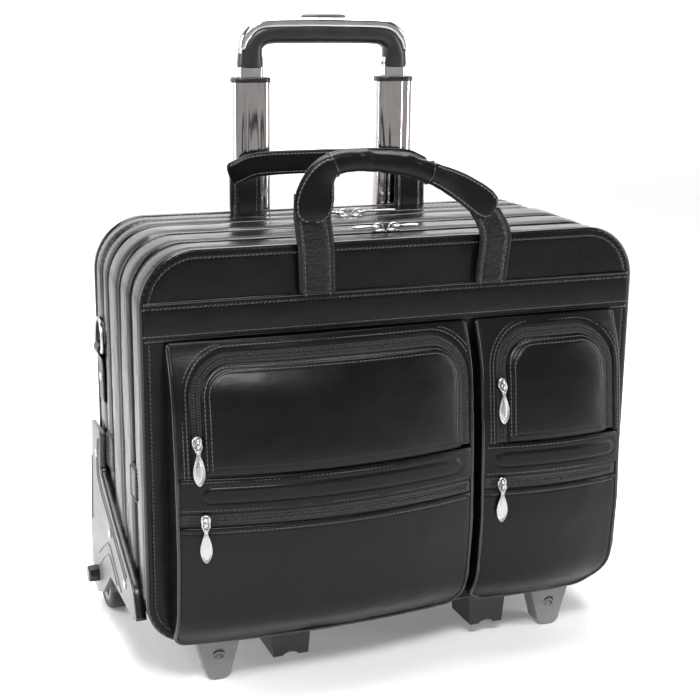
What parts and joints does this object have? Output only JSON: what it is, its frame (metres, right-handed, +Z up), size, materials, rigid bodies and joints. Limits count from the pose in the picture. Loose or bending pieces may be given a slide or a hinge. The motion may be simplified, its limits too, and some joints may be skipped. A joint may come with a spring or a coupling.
{
  "type": "rolling laptop case",
  "caption": "Black leather laptop case on wheels with a telescopic handle, two carry handles, zipped sections, front pockets and side rings.",
  "frame": {"origin": "on the floor, under the middle of the overall bounding box", "axes": "+Z up, +X to the case's right seen from the front, +Y to the back where the trolley handle is"},
  "size_m": [0.476, 0.27, 0.555],
  "materials": {
    "leather": "smooth semi-gloss black leather",
    "piping_leather": "rolled black leather",
    "lining": "woven nylon lining",
    "tape": "woven zipper tape",
    "board": "textured",
    "nickel": "polished nickel",
    "tube_metal": "dark nickel, polished",
    "steel": "plain",
    "chrome_trim": "mirror",
    "grey_plastic": "moulded, fine texture",
    "black_plastic": "moulded",
    "button_plastic": "satin",
    "rubber": "matte",
    "tyre": "matte"
  },
  "bodies": {
    "rear_case": {"back_panel": "leather", "rear_gusset": "leather", "bottom_gusset": "leather", "rear_piping": "piping_leather", "base_board": "board", "laptop_pad": "lining", "trolley_cover": "leather", "outer_tubes": "steel", "tube_collars": "black_plastic", "wheel_housings": "grey_plastic", "screws_and_rivets": "nickel", "axles": "steel", "axle_caps": "black_plastic", "wheel_bearings": "steel", "front_feet": "grey_plastic", "skid_blocks": "rubber", "ring_chapes": "leather"},
    "middle_section": {"middle_front_gusset": "leather", "middle_rear_gusset": "leather", "section_divider": "lining"},
    "front_section": {"front_panel": "leather", "front_piping": "piping_leather", "front_gusset": "leather", "front_band": "leather", "left_pocket": "leather", "right_pocket": "leather", "pocket_zippers": "tape"},
    "left_flap": {"left_pocket_flap": "leather"},
    "right_flap": {"right_pocket_flap": "leather"},
    "front_handle": {"front_handle": "leather"},
    "rear_handle": {"rear_handle": "leather"},
    "trolley_middle": {"middle_tubes": "tube_metal", "middle_tube_caps": "black_plastic"},
    "trolley_handle": {"inner_tubes": "chrome_trim", "trolley_grip": "rubber", "grip_cap_strip": "chrome_trim"},
    "release_button": {"release_button": "button_plastic", "button_spring": "steel"},
    "left_wheel": {"left_tyre": "tyre", "left_wheel_hub": "black_plastic"},
    "right_wheel": {"right_tyre": "tyre", "right_wheel_hub": "black_plastic"},
    "left_ring": {"left_d_ring": "nickel"},
    "right_ring": {"right_d_ring": "nickel"},
    "left_flap_slider": {"left_flap_slider": "nickel"},
    "left_flap_pull": {"left_flap_pull": "nickel"},
    "right_flap_slider": {"right_flap_slider": "nickel"},
    "right_flap_pull": {"right_flap_pull": "nickel"},
    "left_lower_slider": {"left_lower_slider": "nickel"},
    "left_lower_pull": {"left_lower_pull": "nickel"},
    "right_lower_slider": {"right_lower_slider": "nickel"},
    "right_lower_pull": {"right_lower_pull": "nickel"},
    "laptop_zipper_left_slider": {"laptop_zipper_left_slider": "nickel"},
    "laptop_zipper_left_pull": {"laptop_zipper_left_pull": "nickel"},
    "laptop_zipper_right_slider": {"laptop_zipper_right_slider": "nickel"},
    "laptop_zipper_right_pull": {"laptop_zipper_right_pull": "nickel"},
    "file_zipper_left_slider": {"file_zipper_left_slider": "nickel"},
    "file_zipper_left_pull": {"file_zipper_left_pull": "nickel"},
    "file_zipper_right_slider": {"file_zipper_right_slider": "nickel"},
    "file_zipper_right_pull": {"file_zipper_right_pull": "nickel"}
  },
  "joints": [
    {"name": "laptop_section_opening", "type": "hinge", "parent": "rear_case", "child": "middle_section", "pos_m": [0, -0.085, 0.045], "axis": [1, 0, 0], "range_deg": [0, 12]},
    {"name": "file_section_opening", "type": "hinge", "parent": "middle_section", "child": "front_section", "pos_m": [0, -0.085, 0.045], "axis": [1, 0, 0], "range_deg": [0, 15]},
    {"name": "left_flap_opening", "type": "hinge", "parent": "front_section", "child": "left_flap", "pos_m": [-0.07225, -0.132, 0.206], "axis": [1, 0, 0], "range_deg": [0, 60]},
    {"name": "right_flap_opening", "type": "hinge", "parent": "front_section", "child": "right_flap", "pos_m": [0.135, -0.122, 0.206], "axis": [1, 0, 0], "range_deg": [0, 60]},
    {"name": "front_handle_swing", "type": "hinge", "parent": "front_section", "child": "front_handle", "pos_m": [0, -0.093, 0.3815], "axis": [1, 0, 0], "range_deg": [-60, 140]},
    {"name": "rear_handle_swing", "type": "hinge", "parent": "rear_case", "child": "rear_handle", "pos_m": [0, 0.089, 0.3865], "axis": [1, 0, 0], "range_deg": [-3, 78]},
    {"name": "trolley_lower_slide", "type": "slide", "parent": "rear_case", "child": "trolley_middle", "axis": [0, 0, 1], "range_m": [-0.115, 0.125]},
    {"name": "trolley_upper_slide", "type": "slide", "parent": "trolley_middle", "child": "trolley_handle", "axis": [0, 0, 1], "range_m": [-0.005, 0.255]},
    {"name": "release_button_press", "type": "slide", "parent": "trolley_handle", "child": "release_button", "axis": [0, 0, -1], "range_m": [0, 0.004], "stiffness_N_per_m": 600, "deforming": ["button_spring"]},
    {"name": "left_wheel_spin", "type": "hinge", "parent": "rear_case", "child": "left_wheel", "pos_m": [-0.212, 0.1, 0.035], "axis": [1, 0, 0], "continuous": true},
    {"name": "right_wheel_spin", "type": "hinge", "parent": "rear_case", "child": "right_wheel", "pos_m": [0.212, 0.1, 0.035], "axis": [1, 0, 0], "continuous": true},
    {"name": "left_ring_swing", "type": "hinge", "parent": "rear_case", "child": "left_ring", "pos_m": [-0.2247, 0.073, 0.262], "axis": [0, -1, 0], "range_deg": [0, 165]},
    {"name": "right_ring_swing", "type": "hinge", "parent": "rear_case", "child": "right_ring", "pos_m": [0.2247, 0.073, 0.262], "axis": [0, 1, 0], "range_deg": [0, 165]},
    {"name": "left_flap_slider_run", "type": "slide", "parent": "front_section", "child": "left_flap_slider", "axis": [0, 0.1122, 0.9937], "range_m": [-0.014, 0.03]},
    {"name": "left_flap_pull_swing", "type": "hinge", "parent": "left_flap_slider", "child": "left_flap_pull", "pos_m": [-0.186, -0.12166, 0.22761], "axis": [-1, 0, 0], "range_deg": [-3, 110]},
    {"name": "right_flap_slider_run", "type": "slide", "parent": "front_section", "child": "right_flap_slider", "axis": [0, 0.1122, 0.9937], "range_m": [-0.04, 0.008]},
    {"name": "right_flap_pull_swing", "type": "hinge", "parent": "right_flap_slider", "child": "right_flap_pull", "pos_m": [0.084, -0.11814, 0.25061], "axis": [-1, 0, 0], "range_deg": [-3, 110]},
    {"name": "left_lower_slider_run", "type": "hinge", "parent": "front_section", "child": "left_lower_slider", "pos_m": [-0.07225, 0.34305, 0.163], "axis": [0, 0, 1], "range_deg": [0, 27]},
    {"name": "left_lower_pull_swing", "type": "hinge", "parent": "left_lower_slider", "child": "left_lower_pull", "pos_m": [-0.18223, -0.12707, 0.163], "axis": [-0.9736, 0.2282, 0], "range_deg": [-3, 110]},
    {"name": "right_lower_slider_run", "type": "hinge", "parent": "front_section", "child": "right_lower_slider", "pos_m": [0.135, 0.16098, 0.163], "axis": [0, 0, 1], "range_deg": [0, 20]},
    {"name": "right_lower_pull_swing", "type": "hinge", "parent": "right_lower_slider", "child": "right_lower_pull", "pos_m": [0.08303, -0.12509, 0.163], "axis": [-0.9838, 0.1792, 0], "range_deg": [-3, 110]},
    {"name": "laptop_zipper_left_slider_run", "type": "slide", "parent": "rear_case", "child": "laptop_zipper_left_slider", "axis": [-1, 0, 0], "range_m": [0, 0.15]},
    {"name": "laptop_zipper_left_pull_swing", "type": "hinge", "parent": "laptop_zipper_left_slider", "child": "laptop_zipper_left_pull", "pos_m": [-0.006, 0.0362, 0.3816], "axis": [0, 1, 0], "range_deg": [-4, 100]},
    {"name": "laptop_zipper_right_slider_run", "type": "slide", "parent": "rear_case", "child": "laptop_zipper_right_slider", "axis": [1, 0, 0], "range_m": [0, 0.15]},
    {"name": "laptop_zipper_right_pull_swing", "type": "hinge", "parent": "laptop_zipper_right_slider", "child": "laptop_zipper_right_pull", "pos_m": [0.008, 0.0362, 0.3816], "axis": [0, -1, 0], "range_deg": [-4, 100]},
    {"name": "file_zipper_left_slider_run", "type": "slide", "parent": "middle_section", "child": "file_zipper_left_slider", "axis": [-1, 0, 0], "range_m": [0, 0.15]},
    {"name": "file_zipper_left_pull_swing", "type": "hinge", "parent": "file_zipper_left_slider", "child": "file_zipper_left_pull", "pos_m": [-0.006, -0.0483, 0.3816], "axis": [0, 1, 0], "range_deg": [-4, 100]},
    {"name": "file_zipper_right_slider_run", "type": "slide", "parent": "middle_section", "child": "file_zipper_right_slider", "axis": [1, 0, 0], "range_m": [0, 0.15]},
    {"name": "file_zipper_right_pull_swing", "type": "hinge", "parent": "file_zipper_right_slider", "child": "file_zipper_right_pull", "pos_m": [0.008, -0.0483, 0.3816], "axis": [0, -1, 0], "range_deg": [-4, 100]}
  ]
}
